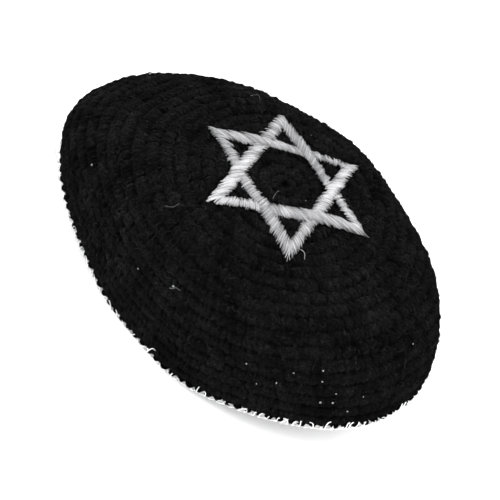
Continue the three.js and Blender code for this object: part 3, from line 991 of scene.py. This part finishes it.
class CAP_OT_edging(bpy.types.Operator):
    """Adds the silver thread crocheted along the rim: three running threads, and hooks round the edge"""

    bl_idname = "cap.edging"
    bl_label = "Thread Edging"

    SEED = 23
    HOOK_SPANS = 12
    HOOK_SIDES = 5
    # How far the hooks dip under the wall's edge, as a share of the room that the edging has
    DROP = 1.3
    # Start and length of the stretches of a hook, in parts of it: half circle under the edge, climb, curl
    UNDER_EDGE = (0.12, 0.3)
    CLIMB = (0.42, 0.36)
    CURL = (0.7, 0.3)
    # Length of a hook inside the wall, radius of its curl, and how far it stands off the yarn
    INSIDE = 1.2 * MM
    CURL_RADIUS = 0.42 * MM
    STAND = 0.22 * MM
    # Half heights of the running threads' waves along the wall and through it
    WAVE_DOWN = 0.22 * MM
    WAVE_THROUGH = 0.35 * MM
    # Running threads: height over the cloth, distance past the rim, and phase of their waves in stitches
    RUNNING = ({"proud": -0.7 * MM, "below": 1.1 * MM, "phase": 0.0},
               {"proud": -1.5 * MM, "below": 1.25 * MM, "phase": 0.4},
               {"proud": -2.6 * MM, "below": 1.1 * MM, "phase": 0.7})
    # Stretches of the rim where the hooks stand off the yarn and climb higher: their middle and spread in
    # degrees round the cap, and how much further the hooks stand off there
    LOOSE = ({"toward": 199.0, "spread": 11, "by": 3.8}, {"toward": 340.0, "spread": 12, "by": 1.4},
             {"toward": 2.0, "spread": 12, "by": 2.4})

    def looseness(self, direction):
        """How loose the hooks are at each direction: 1, plus a bell curve for each loose stretch."""
        away = [apart(np.degrees(direction), row["toward"]) / row["spread"] for row in self.LOOSE]
        return 1 + sum(row["by"] * np.exp(-gap**2) for row, gap in zip(self.LOOSE, away))

    def hooks(self, surface, cloth, edging, yarn, rng):
        """Hooks of thread that bind the wall's edge, two to a stitch but for those that are hidden or worn
        off. Each starts inside, goes under the edge in a half circle, climbs the outside towards the notch
        between two stitches and ends in a curl, an arc of a small circle. Some stand off the yarn."""
        wall = cloth.wall
        count, to_direction = cloth.round_directions(wall.rounds - 1, yarn.stitch_width)
        length = np.mean(cloth.length)
        t = np.linspace(0, 1, self.HOOK_SPANS + 1)
        turn = gone(t, *self.UNDER_EDGE) * math.pi
        up = gone(t, *self.CLIMB)
        half = wall.thickness / 2 + 0.2 * MM
        below = self.DROP * (wall.edging_height + wall.gap - edging.thread_radius) * np.sin(turn)
        for lean, kept in ((-1, 0.6), (1, 0.95)):
            number = np.nonzero(rng.uniform(0, 1, count) < kept)[0]
            made = (len(number), 1)
            notch = (number + STAGGER * (wall.rounds - 1) + 0.75 + 0.5 * yarn.slant)[:, None]
            loose = self.looseness(to_direction(notch / count))
            climb = edging.loop_height * rng.lognormal(0, 0.45, made) * (0.6 + 0.4 * np.minimum(loose, 3))
            inside = gone(self.UNDER_EDGE[0] - t, 0, self.UNDER_EDGE[0]) * self.INSIDE
            curl = self.CURL_RADIUS * rng.lognormal(0, 0.3, made)
            sweep = gone(t, *self.CURL) * math.pi * rng.uniform(0.7, 1.7, made)
            rise = inside + up * climb + curl * np.sin(sweep)
            share = 1 + (below - rise) / length
            stand = self.STAND * loose * rng.lognormal(0, 0.5, made) * np.sin(math.pi * gone(t, 0.3, 0.7))
            proud = -wall.thickness / 2 - half * np.cos(turn) + stand
            bow = 0.3 * np.sin(math.pi * np.clip(t * 1.15, 0, 1))
            aside = lean * (bow + rng.normal(0.1, 0.16, made) * up)
            aside = aside + curl * (1 - np.cos(sweep)) / yarn.stitch_width * rng.choice((-1, 1, 1), made)
            place = notch + rng.normal(0, 0.12, made) + aside
            points, normal, along, down = cloth.at(to_direction(place / count), share, proud)
            taper = 1 - 0.35 * np.clip(2 * t - 1, 0, 1)
            radius = edging.thread_radius * rng.normal(0.85, 0.15, made) * taper
            tone = np.clip(rng.normal(0.85, 0.25, len(number)), 0.1, 1)
            add_strands(surface, points, along, radius, radius, self.HOOK_SIDES, tone)

    def running_thread(self, surface, cloth, edging, yarn, row):
        """A closed thread along the rim's underside that waves once a stitch, sideways and up and down."""
        wall = cloth.wall
        count, to_direction = cloth.round_directions(wall.rounds - 1, yarn.stitch_width)
        length = np.mean(cloth.length)
        part = np.arange(8 * count) / (8 * count)
        wave = math.tau * (part * count + row["phase"])
        share = 1 + (row["below"] + self.WAVE_DOWN * np.sin(wave)) / length
        proud = row["proud"] + self.WAVE_THROUGH * np.cos(wave)
        points, normal, along, down = cloth.at(to_direction(part), share, proud)
        side = np.cross(down, along)
        add_strands(surface, points[None], side[None], edging.thread_radius, edging.thread_radius,
                    THREAD_SIDES, 0.6, closed=True)

    def execute(self, context):
        scene = context.scene
        cloth = Cloth(scene.cap_wall)
        edging = scene.cap_edging
        rng = np.random.default_rng(self.SEED)
        surface = Surface()
        self.hooks(surface, cloth, edging, scene.cap_yarn, rng)
        for row in self.RUNNING:
            self.running_thread(surface, cloth, edging, scene.cap_yarn, row)
        surface.piece("thread_edging", edging_thread(scene), "edging_thread", "rim_edging")
        return {"FINISHED"}


class CAP_OT_strays(bpy.types.Operator):
    """Adds the short fibres that stand out of the yarn, the loose threads and the lint"""

    bl_idname = "cap.strays"
    bl_label = "Strays"

    SEED = 31
    SPANS = 4
    SIDES = 3
    # Least and most that a fibre rises, as a share of its reach, and that its arc turns, in radians
    RISE = (0.15, 0.4)
    SWEEP = (0.8, 4.0)
    LINT_STRANDS = 4
    LINT_RADIUS = 0.033 * MM

    def fibres(self, cloth, strays, name, rng, scene):
        """One piece of short fibres, arcs of circles over the yarn that start in it and rise a little out of
        it. The sweep is the angle that an arc turns through."""
        count = strays.fibres
        share = np.sqrt(rng.uniform(0.0, 1.0, count)) * 0.4 + rng.uniform(0, 0.6, count)
        points, normal, along, down = cloth.at(rng.uniform(0, math.tau, count), share, -0.2 * MM)
        heading = rng.uniform(0, math.tau, (count, 1))
        flat = np.cos(heading) * along + np.sin(heading) * down
        aside = np.cross(normal, flat)
        reach = strays.fibre_length * rng.lognormal(0, 0.4, (count, 1, 1))
        t = np.linspace(0, 1, self.SPANS + 1)[:, None]
        rise = rng.uniform(*self.RISE, (count, 1, 1))
        sweep = rng.uniform(*self.SWEEP, (count, 1, 1))
        paths = (points[:, None] + reach * (np.sin(sweep * t) / sweep * flat[:, None]
                                            + (1 - np.cos(sweep * t)) / sweep * aside[:, None]
                                            + rise * np.sin(2.2 * t) * normal[:, None]))
        sides = np.broadcast_to(aside[:, None], paths.shape)
        surface = Surface()
        radius = strays.fibre_radius * rng.uniform(0.7, 1.3, (count, 1)) * np.ones(self.SPANS + 1)
        add_strands(surface, paths, sides, radius, radius, self.SIDES, rng.uniform(0, 1, count))
        surface.piece(name, loose_hair(scene), "black_yarn")

    def loose_threads(self, surface, cloth):
        """Each loose thread runs straight over the cloth from its start to its end, plus half a sine wave
        sideways for its bow and one upwards."""
        t = np.linspace(0, 1, 25)
        for row in LOOSE_THREADS:
            toward, share = (row["start"][i] + (row["end"][i] - row["start"][i]) * t for i in (0, 1))
            proud = 0.1 * MM + 0.5 * MM * np.sin(math.pi * t)
            points, normal, along, down = cloth.at(np.radians(toward), share, proud)
            line = points[-1] - points[0]
            aside = np.cross(normal, unit(line))
            points = points + row["bow"] * np.linalg.norm(line) * np.sin(math.pi * t)[:, None] ** 1.5 * aside
            radius = row["radius"] * MM * (1 - 0.4 * t[None])
            add_strands(surface, points[None], normal[None], radius, radius, 5, row["tone"])

    def lint(self, surface, cloth, rng):
        """Each speck of lint is a few short crumpled strands through one place: the place plus sines of
        random phase in all three directions."""
        t = np.linspace(0, 1, 5)
        for row in LINT:
            point, normal, along, down = cloth.at(math.radians(row["toward"]), row["share"], 0.15 * MM)
            size = row["size"] * MM * rng.uniform(0.1, 0.6, 3)
            waves = np.sin(rng.uniform(2, 5, (self.LINT_STRANDS, 1, 3)) * t[:, None]
                           + rng.uniform(0, math.tau, (self.LINT_STRANDS, 1, 3)))
            paths = point + (size * waves) @ np.stack((along, down, 0.5 * normal))
            sides = np.broadcast_to(normal, paths.shape)
            tones = rng.uniform(0.1, 0.8) * np.ones(self.LINT_STRANDS)
            add_strands(surface, paths, sides, self.LINT_RADIUS, self.LINT_RADIUS, 4, tones)

    def execute(self, context):
        scene = context.scene
        cloth = Cloth(scene.cap_wall)
        rng = np.random.default_rng(self.SEED)
        for name in ("stray_fibres", "stray_fibres_more"):
            self.fibres(cloth, scene.cap_strays, name, rng, scene)
        surface = Surface()
        self.loose_threads(surface, cloth)
        self.lint(surface, cloth, rng)
        surface.piece("lint_and_loose_threads", edging_thread(scene), "edging_thread")
        return {"FINISHED"}


class CAP_OT_stage(bpy.types.Operator):
    """Adds the plain floor, the soft studio light and the camera"""

    bl_idname = "cap.stage"
    bl_label = "Stage"

    FLOOR_SIZE = 6.0
    # Direction of the key light from the crown, and how far the fill light leans up and left from the
    # camera's direction
    KEY_TOWARD = (0.15, 0.52, 0.84)
    FILL_UP = 0.3
    FILL_LEFT = 0.15

    def add_floor(self, stage):
        """A pale matt plane that the cap rests on."""
        half = self.FLOOR_SIZE / 2
        mesh = bpy.data.meshes.new("floor")
        corners = [(-half, -half, 0), (half, -half, 0), (half, half, 0), (-half, half, 0)]
        mesh.from_pydata(corners, [], [(0, 1, 2, 3)])
        material, nodes, shader = new_material("pale_floor")
        grain = nodes.noise(nodes.place(), 900.0, 2.0, "paper grain")
        low, high = (shade(stage.floor_colour, share) for share in (0.985, 1.0))
        nodes.link(shader, Base_Color=nodes.blend(grain, low, high, "floor colour"), Roughness=0.9,
                   Specular_IOR_Level=0.2)
        mesh.materials.append(material)
        floor = bpy.data.objects.new("floor", mesh)
        bpy.context.scene.collection.objects.link(floor)

    def add_light(self, name, towards, direction, distance, size, power):
        """A square soft light at a distance in one direction, facing the cap."""
        light = bpy.data.lights.new(name, "AREA")
        light.size = size
        light.energy = power
        lamp = bpy.data.objects.new(name, light)
        lamp.location = towards + direction.normalized() * distance
        lamp.rotation_euler = direction.to_track_quat("Z", "Y").to_euler()
        bpy.context.scene.collection.objects.link(lamp)

    def execute(self, context):
        scene = context.scene
        stage = scene.cap_stage
        azimuth, elevation, roll = stage.azimuth, stage.elevation, stage.roll
        back = Vector((math.sin(azimuth) * math.cos(elevation), -math.cos(azimuth) * math.cos(elevation),
                       math.sin(elevation)))
        level = Vector((math.cos(azimuth), math.sin(azimuth), 0))
        rising = back.cross(level)
        right = math.cos(roll) * level + math.sin(roll) * rising
        up = back.cross(right)
        crown = Vector(Cloth(scene.cap_wall).points[0, 0])
        camera = bpy.data.objects.new("camera", bpy.data.cameras.new("camera"))
        camera.data.lens = stage.lens
        place = crown + stage.distance * back - stage.aside * right - stage.below * up
        turned = Matrix((right, up, back)).transposed().to_4x4()
        camera.matrix_world = Matrix.Translation(place) @ turned
        scene.collection.objects.link(camera)
        scene.camera = camera
        self.add_floor(stage)
        beside = back + self.FILL_UP * up - self.FILL_LEFT * right
        self.add_light("key", crown, Vector(self.KEY_TOWARD), 1.2, 0.7, stage.key)
        self.add_light("fill", crown, beside, 1.3, 0.6, stage.fill)
        world = bpy.data.worlds.new("studio")
        world.use_nodes = True
        world.node_tree.nodes["Background"].inputs["Color"].default_value = (1, 1, 1, 1)
        world.node_tree.nodes["Background"].inputs["Strength"].default_value = stage.sky
        scene.world = world
        scene.view_settings.view_transform = "Standard"
        return {"FINISHED"}


class CAP_PT_panel(bpy.types.Panel):
    """Lists the cap's sizes, colours and pieces"""

    bl_idname = "CAP_PT_panel"
    bl_label = "Crocheted Cap"
    bl_space_type = "VIEW_3D"
    bl_region_type = "UI"
    bl_category = "Cap"

    def draw(self, context):
        for name in SETTINGS:
            group = getattr(context.scene, name)
            box = self.layout.box()
            box.label(text=name.replace("cap_", "").capitalize())
            for field in group.bl_rna.properties:
                if field.identifier not in ("name", "rna_type"):
                    box.prop(group, field.identifier)
        for operator in OPERATORS:
            self.layout.operator(operator.bl_idname)


SETTINGS = {
    "cap_wall": WallSettings,
    "cap_yarn": YarnSettings,
    "cap_star": StarSettings,
    "cap_edging": EdgingSettings,
    "cap_strays": StraySettings,
    "cap_stage": StageSettings,
}
OPERATORS = (CAP_OT_wall, CAP_OT_stitches, CAP_OT_star, CAP_OT_edging, CAP_OT_strays, CAP_OT_stage)


def register():
    for group in SETTINGS.values():
        bpy.utils.register_class(group)
    for operator in OPERATORS:
        bpy.utils.register_class(operator)
    bpy.utils.register_class(CAP_PT_panel)
    for name, group in SETTINGS.items():
        setattr(bpy.types.Scene, name, PointerProperty(type=group))


def unregister():
    for name in SETTINGS:
        delattr(bpy.types.Scene, name)
    bpy.utils.unregister_class(CAP_PT_panel)
    for operator in reversed(OPERATORS):
        bpy.utils.unregister_class(operator)
    for group in reversed(SETTINGS.values()):
        bpy.utils.unregister_class(group)


def main():
    """Builds every piece in order."""
    register()
    bpy.ops.cap.wall()
    bpy.ops.cap.stitches()
    bpy.ops.cap.star()
    bpy.ops.cap.edging()
    bpy.ops.cap.strays()
    bpy.ops.cap.stage()


if __name__ == "__main__":
    main()
